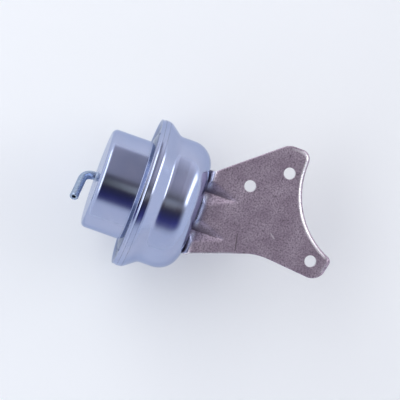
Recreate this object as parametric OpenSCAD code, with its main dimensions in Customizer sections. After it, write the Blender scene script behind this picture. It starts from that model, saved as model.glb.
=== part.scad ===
// Vacuum turbo actuator: a crimped two-part can on a stamped bracket, with a sprung diaphragm and a pull rod.
// The axis of the can runs along +X, from the hose nipple towards the bracket. +Z is up.
// The origin is the centre of the bracket hole nearest the can, on the bracket's mounting face.

/* [Can] */
// Thickness of the cup's and the can's sheet steel
sheet_t = 0.9; // [0.7:0.05:1.1]
// Outer radius of the vacuum cup
cup_r = 24.2; // [23.6:0.1:25]
// Length of the cup, from the crimp plane to its end face
cup_len = 20.1; // [19:0.1:24]
// Radius of the cup's end corner
cup_corner_r = 3; // [2:0.1:4]
// How far the cup's flared foot starts before the crimp plane
flare_back = 1.9; // [1.5:0.1:3]
// Outer radius of the base can
can_r = 31.1; // [30.6:0.1:31.6]
// Length of the base can, from the crimp plane to its end face
can_len = 28.7; // [27:0.1:32]
// Radius of the base can's shoulder
can_shoulder_r = 10.8; // [9:0.1:11]

/* [Crimp] */
// How far the folded rim stands out past the can's wall
rim_over = 4.9; // [4.4:0.1:5.4]
// Width of the rim's outer band
rim_band_w = 5.2; // [4.8:0.1:5.8]
// How much smaller the band is at its far edge
rim_band_drop = 1; // [0.6:0.1:1.2]
// Width of the slope from the band down to the can's wall
rim_slope_w = 4.8; // [4.2:0.1:6]
// Width of the folded lip
lip_w = 5.2; // [4.6:0.1:5.6]
// How far the lip leans in from the rim's tip
lip_lean = 0.94; // [0.8:0.02:1.2]

/* [Hose nipple] */
// Outer radius of the tube
nipple_r = 2; // [1.8:0.05:2.4]
// Bore radius of the tube
nipple_bore_r = 0.9; // [0.7:0.05:1.2]
// Straight length before the bend
nipple_straight = 1.6; // [1.5:0.1:5]
// Centreline radius of the bend
nipple_bend_r = 4.9; // [4:0.1:6]
// Angle of the bend
nipple_bend = 84; // [60:1:90]
// Straight length after the bend
nipple_leg = 12.6; // [10:0.1:20]
// Turn of the tube about the can's axis, from straight down towards the front
nipple_clock = 43; // [0:1:90]
// How far the tube stands into the cup
nipple_inside = 1.5; // [1:0.1:3]
// Size of the braze fillet round the tube
braze_w = 1.1; // [0.6:0.1:1.6]

/* [Diaphragm] */
// Thickness of the diaphragm
diaphragm_t = 0.8; // [0.6:0.05:1]
// Width of the clamped bead
bead_w = 3.1; // [2.6:0.1:3.4]
// Depth of the clamped bead
bead_depth = 4.4; // [3.6:0.1:5]
// Clearance between the bead and the rim's fold
bead_gap = 0.1; // [0.05:0.05:0.2]

/* [Piston and rod] */
// Travel of the rod
stroke = 12; // [10:0.5:13]
// Gap left at each stop
stop_gap = 0.3; // [0.25:0.05:0.5]
// Thickness of the piston cup's sheet
piston_t = 1; // [0.8:0.1:1.2]
// Radial gap between the piston cup and the vacuum cup
piston_gap = 2.3; // [2:0.1:3]
// Depth of the piston cup
piston_depth = 9; // [6:0.5:10]
// Radius of the piston cup's corner
piston_corner_r = 2; // [1.5:0.1:3]
// Thickness of the backing plate
backing_t = 1; // [0.8:0.1:1.4]
// Radius of the backing plate
backing_r = 18.5; // [16:0.5:19]
// Height of the backing plate's turned-up rim
backing_rise = 0.9; // [0.5:0.1:1.2]
// Radius of the rod
rod_r = 3; // [2.8:0.05:3.2]
// Radius of the rod's spigot through the piston
spigot_r = 2; // [1.8:0.1:2.2]
// Radius of the rivet washer
rivet_washer_r = 6; // [5:0.1:6.5]
// Thickness of the rivet washer
rivet_washer_t = 1; // [0.8:0.1:1.4]
// Radius of the rod's peened head
peen_r = 3.2; // [3:0.1:4]
// Height of the rod's peened head
peen_h = 1.6; // [1.2:0.1:2]

/* [Return spring] */
// Mean radius of the spring
spring_r = 15.4; // [15:0.1:15.8]
// Radius of the spring's wire
wire_r = 1.15; // [1:0.05:1.3]
// Turns of the spring
spring_turns = 5.5; // [5:0.5:6.5]
// Gap between each end of the spring and its seat
spring_gap = 0.05; // [0.05:0.05:0.2]
// Thickness of the spring seat
seat_t = 1; // [0.8:0.1:1.4]
// Outer radius of the spring seat
seat_r = 18.5; // [18:0.1:19.5]
// Height of the lip that centres the spring
seat_lip = 3; // [2:0.1:4]
// Radial gap between the lip and the spring
seat_lip_gap = 0.3; // [0.2:0.05:0.6]

/* [Stops] */
// Inner radius of the travel stop
travel_stop_r = 7.6; // [7.2:0.1:8]
// Wall of the travel stop
travel_stop_wall = 2; // [1.5:0.1:2.4]
// Width and height of the travel stop's foot
travel_stop_foot = 1.2; // [0.8:0.1:1.6]
// Width of the slots in the travel stop
slot_w = 3; // [2:0.1:4]
// Depth of the slots in the travel stop
slot_depth = 5; // [3:0.1:7]
// Thickness of the rubber stop ring
stop_ring_t = 1.6; // [1.2:0.1:2]
// Width of the rubber stop ring
stop_ring_w = 3; // [2.5:0.1:3.1]

/* [Rod guide] */
// Outer radius of the guide's housing
housing_r = 8; // [7.8:0.1:8.4]
// How far the housing stands into the can
housing_inside = 8.3; // [7.5:0.1:9.5]
// How far the housing stands out of the bracket
housing_proud = 0.2; // [0.1:0.1:1]
// Radius of the housing's flange
housing_flange_r = 9.3; // [9:0.1:9.4]
// Thickness of the housing's flange
housing_flange_t = 1.4; // [1:0.1:2]
// Radius of the guide bush's ball
ball_r = 5.9; // [5.7:0.05:6]
// Half of the ball's length
ball_half = 3.6; // [3.2:0.1:3.7]
// Distance of the ball's centre from the can's inner face
ball_back = 2.8; // [2.6:0.1:3.2]
// Wall of the ball's retainer at the ball's widest place
retainer_wall = 0.6; // [0.5:0.05:0.8]
// Running clearance of the ball and of the rod
running_gap = 0.05; // [0.03:0.01:0.08]
// Radial room round the rod where it leaves the housing
rod_room = 1.4; // [1.2:0.1:1.5]
// Radial gap between the rod and the wiper
wiper_gap = 0.3; // [0.3:0.05:0.5]
// Thickness of the wiper
wiper_t = 1.5; // [1.2:0.1:1.6]
// Thickness of the wiper's cap
wiper_cap_t = 0.8; // [0.6:0.1:1]
// Width of the wiper's slanted side
wiper_slant = 0.9; // [0.6:0.1:1]

/* [Bracket] */
// Thickness of the bracket
plate_t = 2.4; // [2:0.1:3]
// Distance from the can's axis to the bracket's mounting face
plate_offset = 13; // [12.5:0.1:15]
// Outer radius of the bend
bend_r = 4; // [3.5:0.1:4.5]
// Radius of the bolt holes
hole_r = 2.75; // [2.5:0.05:3.3]
// Hole nearest the can, from the can's end face
hole_a_x = 19.6; // [18.6:0.1:22]
// Hole nearest the can, above the can's axis
hole_a_z = 19.9; // [17:0.1:22]
// Upper hole, beyond the hole nearest the can
hole_b_x = 15.5; // [13:0.1:16]
// Upper hole, above the hole nearest the can
hole_b_z = 11.7; // [9:0.1:14]
// Lower hole, beyond the hole nearest the can
hole_c_x = 38.4; // [36:0.1:39]
// Lower hole, below the hole nearest the can
hole_c_z = 23.8; // [22:0.1:25]
// Radius of the concave edge that clears the turbocharger's housing
arc_r = 38.7; // [36:0.1:39]
// Distance of the concave edge's leftmost point beyond the upper hole
arc_beyond_b = 7; // [6.6:0.1:8]
// Height of the concave edge's lower corner over the lower hole
arc_over_c = 14.2; // [13:0.1:15]
// Height of the upper lobe's top edge over the upper hole
lobe_top = 12.6; // [10:0.1:14]
// Distance of the upper lobe's left corner before the upper hole
lobe_before_b = 4.5; // [3.5:0.1:6]
// Radius of the upper lobe's left corner
lobe_left_r = 6; // [4:0.1:8]
// Radius of the upper lobe's right corner
lobe_right_r = 4.6; // [3:0.1:5]
// Distance of the lower lobe's bottom corner beyond the lower hole
lobe_beyond_c = 6.7; // [5.5:0.1:7.5]
// Depth of the lower lobe's bottom corner under the lower hole
lobe_under_c = 8.2; // [7:0.1:9]
// Radius of the lower lobe's bottom corner
lobe_low_r = 7; // [5:0.1:8]
// Distance of the lower lobe's tip beyond the lower hole
tip_beyond_c = 9.4; // [8.5:0.1:10.5]
// Height of the lower lobe's tip over the lower hole
tip_over_c = 3.65; // [3.2:0.05:4]
// Radius of the lower lobe's tip
tip_r = 1.5; // [1:0.1:2]
// Distance of the lower edge's hollow before the lower hole
hollow_before_c = 25; // [23:0.1:27]
// Depth of the lower edge's hollow under the lower hole
hollow_under_c = 5.1; // [4.5:0.1:6]
// Radius of the lower edge's hollow
hollow_r = 27; // [20:0.5:30]
// Where the upper edge leaves the bend, from the can's end face
shoulder_x = 2; // [1.5:0.1:3]
// Radius where the upper edge leaves the bend
shoulder_r = 3; // [2:0.1:4]
// Height of the flange above the can's axis
root_top = 20.9; // [20:0.1:22]
// Depth of the flange below the can's axis
root_bottom = 20.5; // [19.6:0.1:22]
// How far the flange reaches behind the can's axis
flange_back = 10.5; // [9.6:0.1:13]
// Radius of the flange's rear corners
flange_corner_r = 8; // [4:0.5:9]
// Height of the upper dent over the can's axis
dent_top = 10.6; // [10:0.1:12]
// Depth of the lower dent under the can's axis
dent_bottom = 8.1; // [8:0.1:10]
// Length of the dents along the bracket
dent_run = 16.4; // [12:0.1:18]
// Slope of the dents' valley line
dent_angle = 12; // [9:1:13]
// Slope of the dents' sides
dent_side = 27; // [22:1:35]

/* [Fasteners] */
// Distance of each stud from the can's axis
stud_z = 14; // [13.9:0.1:14.4]
// Radius of the studs
stud_r = 2.5; // [2:0.1:2.6]
// Length of the studs outside the can
stud_len = 9.5; // [8.5:0.1:12]
// Radius of the studs' heads
stud_head_r = 4.4; // [3.8:0.1:4.4]
// Thickness of the studs' heads
stud_head_t = 1.6; // [1.2:0.1:2]
// Radial clearance of the bracket on the studs
stud_gap = 0.25; // [0.15:0.05:0.4]
// Outer radius of the spring washers
washer_r = 4.6; // [4.4:0.1:5]
// Width of the spring washers' split
washer_split = 0.8; // [0.5:0.1:1.2]
// Thickness of the spring washers
washer_t = 1.3; // [1:0.1:1.6]
// Width across flats of the nuts
nut_af = 8; // [7:0.1:8.5]
// Height of the nuts
nut_h = 4; // [3:0.1:4.7]
// Size of the chamfers on studs, nuts and threads
chamfer = 0.5; // [0.3:0.05:0.7]
// Radius of the vent in the can's end
vent_r = 1; // [0.6:0.1:1.4]
// Distance of the vent from the bracket's flange
vent_gap = 4; // [3:0.1:5]

/* [Rod end] */
// Distance from the can's end face to the centre of the eye
eye_x = 48.3; // [44:0.1:49]
// Outer radius of the eye
eye_r = 6; // [5.6:0.1:6.4]
// Thickness of the eye
eye_t = 7; // [6:0.1:8]
// Bore radius of the eye's bush
pin_r = 3.05; // [2.5:0.05:3.1]
// Wall of the eye's bush
eye_bush_wall = 0.95; // [0.7:0.05:1.1]
// Radius of the rod's thread
thread_r = 2.5; // [2.2:0.1:2.6]
// Length of the rod's thread
thread_len = 16; // [15:0.5:18]
// Length of the rod end's threaded shank
shank_len = 11.5; // [11:0.1:12.5]
// Outer radius of the rod end's shank
shank_r = 4.2; // [3.8:0.1:4.4]
// How far the shank runs into the eye
shank_in_eye = 1.5; // [1:0.1:2]
// Length of the shank left solid past its threaded hole
shank_solid = 3; // [2.5:0.1:4]
// How far the eye's bush stands out of the eye at each side
eye_bush_proud = 0.3; // [0.1:0.05:0.5]
// Depth of the neck before the rod's thread
neck = 0.4; // [0.2:0.05:0.6]
// Pitch of the rod's thread
pitch = 0.8; // [0.7:0.1:1]
// Turns that the rod end can be screwed each way
adjust_turns = 3; // [1:1:3]

/* [Hidden] */
$fn = 96;
fine = 180;
over = 1;          // how far a cutting shape runs past what it cuts
join = 0.01;       // step at the joint of two tubes
fit_gap = 0.02;    // radial gap of a pressed or seated piece

zinc = [0.72, 0.77, 0.86];
raw_steel = [0.55, 0.5, 0.53];
bright_steel = [0.7, 0.71, 0.72];
rubber = [0.08, 0.08, 0.08];
bronze = [0.66, 0.5, 0.3];
resin = [0.16, 0.16, 0.17];

// Planes across the can's axis, from the crimp plane
cup_in_x = -cup_len + sheet_t;
can_in_x = can_len - sheet_t;
flange_x = lip_lean + sheet_t;
bead_x = flange_x + sheet_t;
rim_inner_x = rim_band_w - 0.35 * sheet_t;
housing_x = can_in_x - housing_inside;
housing_end_x = can_len + plate_t + housing_proud;
stop_ring_x = housing_x - stop_ring_t;
backing_x = stop_ring_x - stop_gap - backing_t;
crown_x = backing_x - diaphragm_t;
piston_x = crown_x - piston_t;
rivet_washer_x = piston_x - rivet_washer_t;
seat_x = cup_in_x + seat_t;
travel_stop_end_x = piston_x - stroke - stop_gap;
ball_x = can_in_x - ball_back;

// Radii that follow from others
can_in_r = can_r - sheet_t;
rim_r = can_r + rim_over;
lip_inner_r = rim_r - lip_w;
cup_in_r = cup_r - sheet_t;
rim_band_r = rim_r - rim_band_drop;
rim_corner_x = rim_band_w + rim_slope_w;
piston_r = cup_in_r - piston_gap;
rim_root = 0.45 * sheet_t;
ball_seat_r = ball_r + running_gap;
guide_bore_r = rod_r + running_gap;
outlet_r = rod_r + rod_room;
retainer_r = ball_seat_r + retainer_wall;
eye_bush_r = pin_r + eye_bush_wall;
crimp_bead_r = rim_band_r - sheet_t - bead_gap;
bead_inner_r = crimp_bead_r - bead_w;
crown_r = piston_r + 1.25 * diaphragm_t;

// The retainer, the wiper and its cap stack up from the housing's outer end
wiper_cap_x = housing_end_x - wiper_cap_t;
wiper_x = wiper_cap_x - wiper_t;

// The rod's far end, from the crimp plane
eye_centre_x = can_len + eye_x;
shank_x = eye_centre_x - eye_r - shank_len + shank_in_eye;
adjust = pitch * adjust_turns;
thread_end_x = shank_x + shank_len - shank_solid - chamfer - adjust;
thread_x = thread_end_x - thread_len;
nut_x = shank_x - nut_h;

// The bracket's outline, seen from the front: [x from the can's end, z from the can's axis, corner radius]
upper_hole = [hole_a_x + hole_b_x, hole_a_z + hole_b_z];
lower_hole = [hole_a_x + hole_c_x, hole_a_z - hole_c_z];
arc_left = upper_hole[0] + arc_beyond_b;
bracket_corners = [
    [0, -root_bottom, 0],
    [lower_hole[0] - hollow_before_c, lower_hole[1] - hollow_under_c, hollow_r],
    [lower_hole[0] + lobe_beyond_c, lower_hole[1] - lobe_under_c, lobe_low_r],
    [lower_hole[0] + tip_beyond_c, lower_hole[1] + tip_over_c, tip_r],
    [arc_left, lower_hole[1] + arc_over_c, arc_r],
    [arc_left, upper_hole[1] + lobe_top, lobe_right_r],
    [upper_hole[0] - lobe_before_b, upper_hole[1] + lobe_top, lobe_left_r],
    [shoulder_x, root_top, shoulder_r],
    [0, root_top, 0]
];

function unit(v) = v / norm(v);

// Points of the round corner of radius r at b, on the way from a to c
function corner_points(a, b, c, r) =
    let(
        back = unit(a - b),
        ahead = unit(c - b),
        half = acos(back * ahead) / 2,
        middle = b + unit(back + ahead) * r / sin(half),
        first = b + back * r / tan(half) - middle,
        last = b + ahead * r / tan(half) - middle,
        start = atan2(first[1], first[0]),
        turn = atan2(last[1], last[0]) - start,
        sweep = turn > 180 ? turn - 360 : turn < -180 ? turn + 360 : turn,
        steps = ceil(abs(sweep) / 6)
    )
    [for (i = [0 : steps]) middle + r * [cos(start + sweep * i / steps), sin(start + sweep * i / steps)]];

function flat(p) = [p[0], p[1]];

// Outline through corners of the form [x, z, radius]
function rounded(corners) =
    let(n = len(corners))
    [
        for (i = [0 : n - 1])
            let(b = corners[i])
            each b[2] == 0 ? [flat(b)] :
                corner_points(flat(corners[(i + n - 1) % n]), flat(b), flat(corners[(i + 1) % n]), b[2])
    ];

// Moves a shape from the can's frame, with its origin on the axis at the crimp plane, to the row's frame
module in_row_frame() {
    translate([-can_len - hole_a_x, plate_offset, -hole_a_z]) children();
}

// Moves a shape from the bracket's frame, with its origin on the axis at the can's end face
module at_can_end() {
    in_row_frame() translate([can_len, 0, 0]) children();
}

// Turns a half section, drawn as [radius, x], about the can's axis
module turned() {
    rotate([0, 90, 0]) rotate_extrude($fn = fine) children();
}

// A rectangle of a half section, between two radii and two planes
module block(r0, r1, x0, x1) {
    translate([r0, x0]) square([r1 - r0, x1 - x0]);
}

// A ring or a disc about the can's axis
module ring(r0, r1, x0, x1) {
    turned() block(r0, r1, x0, x1);
}

// A round hole along the can's axis, through a sheet that starts at x
module drilled(x, r, sheet) {
    translate([x - over, 0, 0]) rotate([0, 90, 0]) cylinder(r = r, h = sheet + 2 * over);
}

// A quarter of a disc in the half section: its centre, and the way its square corner points
module quarter(r, x, size, side) {
    intersection() {
        translate([r, x]) circle(size);
        translate([r, side > 0 ? x : x - size]) square(size);
    }
}

// Half section of a solid cup that reaches from open_x to end_x, with a round corner at its end
module cup_section(r, open_x, end_x, corner) {
    side = sign(end_x - open_x);
    turn_x = end_x - side * corner;
    block(0, r, min(open_x, turn_x), max(open_x, turn_x));
    block(0, r - corner, min(turn_x, end_x), max(turn_x, end_x));
    quarter(r - corner, turn_x, corner, side);
}

module vacuum_cup() {
    foot = flare_back - 1.1 * sheet_t;
    color(zinc) in_row_frame() difference() {
        turned() {
            difference() {
                cup_section(cup_r, -flare_back, -cup_len, cup_corner_r);
                cup_section(cup_in_r, -flare_back, cup_in_x, cup_corner_r - sheet_t);
                block(0, cup_in_r, -flare_back - over, -flare_back + over);
            }
            polygon([
                [cup_in_r, -flare_back],
                [cup_r, -flare_back],
                [cup_r + 1.1 * sheet_t, -foot],
                [lip_inner_r - 0.9 * sheet_t, lip_lean],
                [lip_inner_r, flange_x],
                [crimp_bead_r, flange_x],
                [crimp_bead_r, bead_x],
                [lip_inner_r - 0.45 * sheet_t, bead_x],
                [lip_inner_r - 1.35 * sheet_t, flange_x],
                [cup_r + 0.55 * sheet_t, sheet_t - foot],
                [cup_in_r, sheet_t - flare_back]
            ]);
        }
        // Hole for the nipple
        drilled(-cup_len, nipple_r + fit_gap, sheet_t);
    }
}

// The tube's path: straight out of the cup, round the bend, and straight to its open end
module tube(r, past_end) {
    root_r = r + join;    // a hair wider than the leg, which starts just inside the bend
    inside = 15 * join;
    rotate([0, -90, 0]) translate([0, 0, -nipple_inside - sheet_t - past_end])
        cylinder(r = root_r, h = nipple_straight + nipple_inside + sheet_t + past_end);
    translate([-nipple_straight, 0, -nipple_bend_r]) {
        rotate([90, 0, 0]) rotate([0, 0, 90])
            rotate_extrude(angle = nipple_bend) translate([nipple_bend_r, 0]) circle(root_r);
        rotate([0, -nipple_bend, 0]) translate([inside, 0, nipple_bend_r]) rotate([0, -90, 0])
            cylinder(r = r, h = nipple_leg + inside + past_end);
    }
}

module hose_nipple() {
    color(zinc) in_row_frame() translate([-cup_len, 0, 0]) rotate([-nipple_clock, 0, 0]) difference() {
        tube(nipple_r, 0);
        tube(nipple_bore_r, over);
    }
}

module nipple_braze() {
    color(zinc) in_row_frame() turned() difference() {
        polygon([
            [nipple_r + fit_gap, -cup_len],
            [nipple_r + fit_gap, -cup_len - braze_w],
            [nipple_r + braze_w, -cup_len]
        ]);
        translate([nipple_r + 1.2 * braze_w, -cup_len - 1.2 * braze_w]) circle(braze_w);
    }
}

module base_can() {
    color(zinc) in_row_frame() difference() {
        turned() {
            difference() {
                cup_section(can_r, rim_corner_x, can_len, can_shoulder_r);
                cup_section(can_in_r, rim_corner_x, can_in_x, can_shoulder_r - sheet_t);
                block(0, can_in_r, rim_corner_x - over, rim_corner_x + over);
            }
            polygon([
                [can_in_r, rim_corner_x],
                [can_in_r + rim_root, rim_corner_x - 0.8 * sheet_t],
                [rim_band_r - sheet_t, rim_inner_x],
                [rim_r - sheet_t, 1.2 * sheet_t],
                [lip_inner_r, flange_x],
                [lip_inner_r, lip_lean],
                [rim_r, 0],
                [rim_band_r, rim_band_w],
                [can_r + rim_root, rim_corner_x - rim_root],
                [can_r, rim_corner_x]
            ]);
        }
        // Hole for the guide's housing
        drilled(can_in_x, housing_r + fit_gap, sheet_t);
        // Holes for the studs
        for (side = [-1, 1]) translate([0, 0, side * stud_z]) drilled(can_in_x, stud_r + fit_gap, sheet_t);
        // Vent to the open air
        translate([0, flange_back + vent_gap, 0]) drilled(can_in_x, vent_r, sheet_t);
    }
}

module diaphragm() {
    bead_end = bead_x + bead_depth;
    slope = (rim_band_r - can_r - rim_root) / (rim_slope_w - rim_root);
    bead_end_r = crimp_bead_r - slope * (bead_end - rim_inner_x + bead_gap);
    web = 1.75 * diaphragm_t;
    color(rubber) in_row_frame() turned() {
        polygon([
            [bead_inner_r, bead_x],
            [crimp_bead_r, bead_x],
            [crimp_bead_r, rim_inner_x - bead_gap],
            [bead_end_r, bead_end],
            [bead_inner_r, bead_end]
        ]);
        polygon([
            [bead_inner_r + 0.25 * diaphragm_t, bead_x + 0.4 * diaphragm_t],
            [bead_inner_r + 0.25 * diaphragm_t, bead_x + 0.4 * diaphragm_t + web],
            [crown_r, backing_x],
            [spigot_r + fit_gap, backing_x],
            [spigot_r + fit_gap, crown_x],
            [crown_r - 0.7 * diaphragm_t, crown_x]
        ]);
    }
}

module piston_cup() {
    color(bright_steel) in_row_frame() turned() {
        difference() {
            cup_section(piston_r, crown_x - piston_depth, crown_x, piston_corner_r);
            cup_section(piston_r - piston_t, crown_x - piston_depth, piston_x, piston_corner_r - piston_t);
            block(0, piston_r - piston_t, crown_x - piston_depth - over, crown_x - piston_depth + over);
            block(0, spigot_r + fit_gap, piston_x - over, crown_x + over);
        }
    }
}

module backing_plate() {
    rim_x = backing_x + backing_rise;
    color(bright_steel) in_row_frame() turned() polygon([
        [spigot_r + fit_gap, backing_x],
        [backing_r - 1.5 * backing_t, backing_x],
        [backing_r, rim_x],
        [backing_r, rim_x + backing_t],
        [backing_r - 0.5 * backing_t, rim_x + backing_t],
        [backing_r - 1.7 * backing_t, backing_x + backing_t],
        [spigot_r + fit_gap, backing_x + backing_t]
    ]);
}

module rivet_washer() {
    color(bright_steel) in_row_frame() ring(spigot_r + fit_gap, rivet_washer_r, rivet_washer_x, piston_x);
}

module pull_rod() {
    shoulder_in_x = backing_x + backing_t;
    peen_x = rivet_washer_x - peen_h;
    color(bright_steel) in_row_frame() turned() polygon([
        [0, peen_x],
        [peen_r - 2 * chamfer, peen_x],
        [peen_r, peen_x + 2 * chamfer],
        [peen_r, rivet_washer_x],
        [spigot_r, rivet_washer_x],
        [spigot_r, shoulder_in_x],
        [rod_r, shoulder_in_x],
        [rod_r, thread_x - 2 * neck],
        [thread_r - neck, thread_x - neck],
        [thread_r - neck, thread_x + neck],
        [thread_r, thread_x + 2 * neck],
        [thread_r, thread_end_x - chamfer],
        [thread_r - chamfer, thread_end_x],
        [0, thread_end_x]
    ]);
}

// Coil of round wire from x0 to x1, with closed end turns
module coil(r, wire, turns, x0, x1) {
    sides = 8;
    steps = round(turns * 24);
    pitch_room = x1 - x0 - 2 * wire;
    closed = 2.1 * wire;
    // Share of the rise along the coil: slow in the closed first and last turn, even between them
    function rise(t) =
        t < 1 ? closed * t :
        t > turns - 1 ? pitch_room - closed * (turns - t) :
        closed + (pitch_room - 2 * closed) * (t - 1) / (turns - 2);
    points = [
        for (i = [0 : steps], j = [0 : sides - 1])
            let(
                t = turns * i / steps,
                out = r + wire * cos(360 * j / sides),
                along = x0 + wire + rise(t) + wire * sin(360 * j / sides)
            )
            [along, out * cos(360 * t), out * sin(360 * t)]
    ];
    walls = [
        for (i = [0 : steps - 1], j = [0 : sides - 1])
            let(next = (j + 1) % sides)
            [i * sides + j, i * sides + next, (i + 1) * sides + next, (i + 1) * sides + j]
    ];
    first = [for (j = [sides - 1 : -1 : 0]) j];
    last = [for (j = [0 : sides - 1]) steps * sides + j];
    polyhedron(points, concat([first], walls, [last]), convexity = 10);
}

module return_spring() {
    color(bright_steel) in_row_frame()
        coil(spring_r, wire_r, spring_turns, seat_x + spring_gap, piston_x - spring_gap);
}

module spring_seat() {
    lip_r = spring_r - wire_r - seat_lip_gap;
    color(bright_steel) in_row_frame() turned() difference() {
        union() {
            block(travel_stop_r, seat_r, cup_in_x, seat_x);
            block(lip_r - seat_t, lip_r, cup_in_x, seat_x + seat_lip);
        }
        block(lip_r - seat_t - over, lip_r - seat_t, seat_x, seat_x + seat_lip + over);
    }
}

module travel_stop() {
    outer = travel_stop_r + travel_stop_wall;
    color(resin) in_row_frame() difference() {
        union() {
            ring(travel_stop_r, outer, seat_x, travel_stop_end_x);
            ring(travel_stop_r, outer + travel_stop_foot, seat_x, seat_x + travel_stop_foot);
        }
        // Slots that let the air past
        for (turn = [0, 90]) rotate([turn, 0, 0])
            translate([travel_stop_end_x - slot_depth, -slot_w / 2, -outer - over])
                cube([slot_depth + over, slot_w, 2 * outer + 2 * over]);
    }
}

module stop_ring() {
    inner = housing_r - 2 * running_gap - stop_ring_w;
    color(rubber) in_row_frame() ring(inner, inner + stop_ring_w, stop_ring_x, housing_x);
}

module bush_housing() {
    color(bright_steel) in_row_frame() turned() difference() {
        union() {
            block(outlet_r, housing_r, housing_x, housing_end_x);
            block(outlet_r, housing_flange_r, can_in_x - housing_flange_t, can_in_x);
        }
        block(0, retainer_r, ball_x, housing_end_x + over);
        translate([0, ball_x]) circle(ball_seat_r);
    }
}

module guide_bush() {
    color(bronze) in_row_frame() turned() intersection() {
        translate([0, ball_x]) circle(ball_r);
        block(guide_bore_r, ball_r, ball_x - ball_half, ball_x + ball_half);
    }
}

module bush_retainer() {
    color(bright_steel) in_row_frame() turned() difference() {
        block(outlet_r, retainer_r - fit_gap, ball_x, wiper_x);
        translate([0, ball_x]) circle(ball_seat_r);
    }
}

module rod_wiper() {
    lip_in_r = rod_r + wiper_gap;
    color(rubber) in_row_frame() turned() polygon([
        [lip_in_r, wiper_cap_x],
        [retainer_r - fit_gap, wiper_cap_x],
        [retainer_r - fit_gap, wiper_x],
        [lip_in_r + wiper_slant, wiper_x],
        [lip_in_r, wiper_cap_x - wiper_t / 3]
    ]);
}

module wiper_cap() {
    color(bright_steel) in_row_frame()
        ring(rod_r + 2 * wiper_gap, retainer_r - fit_gap, wiper_cap_x, housing_end_x);
}

// The L-shaped section of the bracket, seen from above: the flange, the bend and the plate
module bracket_section() {
    reach = lower_hole[0] + 2 * tip_beyond_c;
    translate([0, bend_r - plate_offset]) square([plate_t, plate_offset - bend_r + flange_back]);
    translate([bend_r, -plate_offset]) square([reach, plate_t]);
    difference() {
        intersection() {
            translate([bend_r, bend_r - plate_offset]) circle(bend_r);
            translate([0, -plate_offset]) square(bend_r);
        }
        translate([bend_r, bend_r - plate_offset]) circle(bend_r - plate_t);
    }
}

// A wedge along the valley line of a dent, moved into the bend by some distance
module dent_wedge(into) {
    long = 3 * dent_run;
    wide = 0.75 * dent_run;
    translate([dent_run, -plate_offset, 0]) rotate([0, 0, 180 - dent_angle])
        translate([-dent_run, -into / cos(dent_side), 0]) rotate([0, 90, 0])
            linear_extrude(long) polygon([
                [0, 0],
                [wide, wide * tan(dent_side)],
                [-wide, wide * tan(dent_side)]
            ]);
}

module bracket() {
    tall = 2 * (upper_hole[1] + lobe_top + over);
    dents = [dent_top, -dent_bottom];
    color(raw_steel) at_can_end() difference() {
        union() {
            intersection() {
                translate([0, 0, -tall / 2]) linear_extrude(tall) bracket_section();
                translate([0, flange_back + over, 0]) rotate([90, 0, 0])
                    linear_extrude(plate_offset + flange_back + 2 * over) polygon(rounded(bracket_corners));
            }
            // Ribs that the dents raise in the corner of the bend
            intersection() {
                union() for (z = dents) translate([0, 0, z]) dent_wedge(plate_t);
                translate([0.4 * plate_t, 0.4 * plate_t - plate_offset, -tall / 2])
                    cube([2 * dent_run, plate_offset, tall]);
            }
        }
        for (z = dents) translate([0, 0, z]) dent_wedge(0);
        // Rear corners of the flange
        for (side = [-1, 1]) {
            edge = side > 0 ? root_top : -root_bottom;
            middle = edge - side * flange_corner_r;
            difference() {
                translate([-over, flange_back - flange_corner_r, min(middle, edge + side * over)])
                    cube([plate_t + 2 * over, flange_corner_r + over, flange_corner_r + over]);
                translate([-2 * over, flange_back - flange_corner_r, middle]) rotate([0, 90, 0])
                    cylinder(r = flange_corner_r, h = plate_t + 4 * over);
            }
        }
        // Bolt holes
        for (p = [[hole_a_x, hole_a_z], upper_hole, lower_hole])
            translate([p[0], over - plate_offset + plate_t, p[1]]) rotate([90, 0, 0])
                cylinder(r = hole_r, h = plate_t + 2 * over);
        // Hole for the guide's housing
        drilled(0, housing_r + 2 * stud_gap, plate_t);
        // Holes for the studs
        for (side = [-1, 1]) translate([0, 0, side * stud_z]) drilled(0, stud_r + stud_gap, plate_t);
    }
}

// Places a shape on each stud, with its x from the can's end face
module on_studs() {
    at_can_end() for (side = [-1, 1]) translate([0, 0, side * stud_z]) children();
}

module mounting_studs() {
    head_x = -sheet_t - stud_head_t;
    color(bright_steel) on_studs() turned() polygon([
        [0, head_x],
        [stud_head_r - chamfer, head_x],
        [stud_head_r, head_x + chamfer],
        [stud_head_r, -sheet_t],
        [stud_r, -sheet_t],
        [stud_r, stud_len - chamfer],
        [stud_r - chamfer, stud_len],
        [0, stud_len]
    ]);
}

module spring_washers() {
    color(bright_steel) on_studs() difference() {
        ring(stud_r + stud_gap, washer_r, plate_t, plate_t + washer_t);
        translate([plate_t - over, 0, -washer_split / 2])
            cube([washer_t + 2 * over, washer_r + over, washer_split]);
    }
}

// A hexagon nut with its corners turned off, from x = 0 to its height
module nut(bore) {
    corner_r = nut_af / sqrt(3);
    difference() {
        intersection() {
            rotate([0, 90, 0]) cylinder(r = corner_r, h = nut_h, $fn = 6);
            turned() polygon([
                [0, 0],
                [nut_af / 2, 0],
                [nut_af / 2 + 2 * chamfer, chamfer],
                [nut_af / 2 + 2 * chamfer, nut_h - chamfer],
                [nut_af / 2, nut_h],
                [0, nut_h]
            ]);
        }
        translate([-over, 0, 0]) rotate([0, 90, 0]) cylinder(r = bore, h = nut_h + 2 * over);
    }
}

module stud_nuts() {
    color(zinc) on_studs() translate([plate_t + washer_t, 0, 0]) nut(stud_r + running_gap);
}

module jam_nut() {
    color(zinc) in_row_frame() translate([nut_x, 0, 0]) nut(thread_r + running_gap);
}

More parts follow.
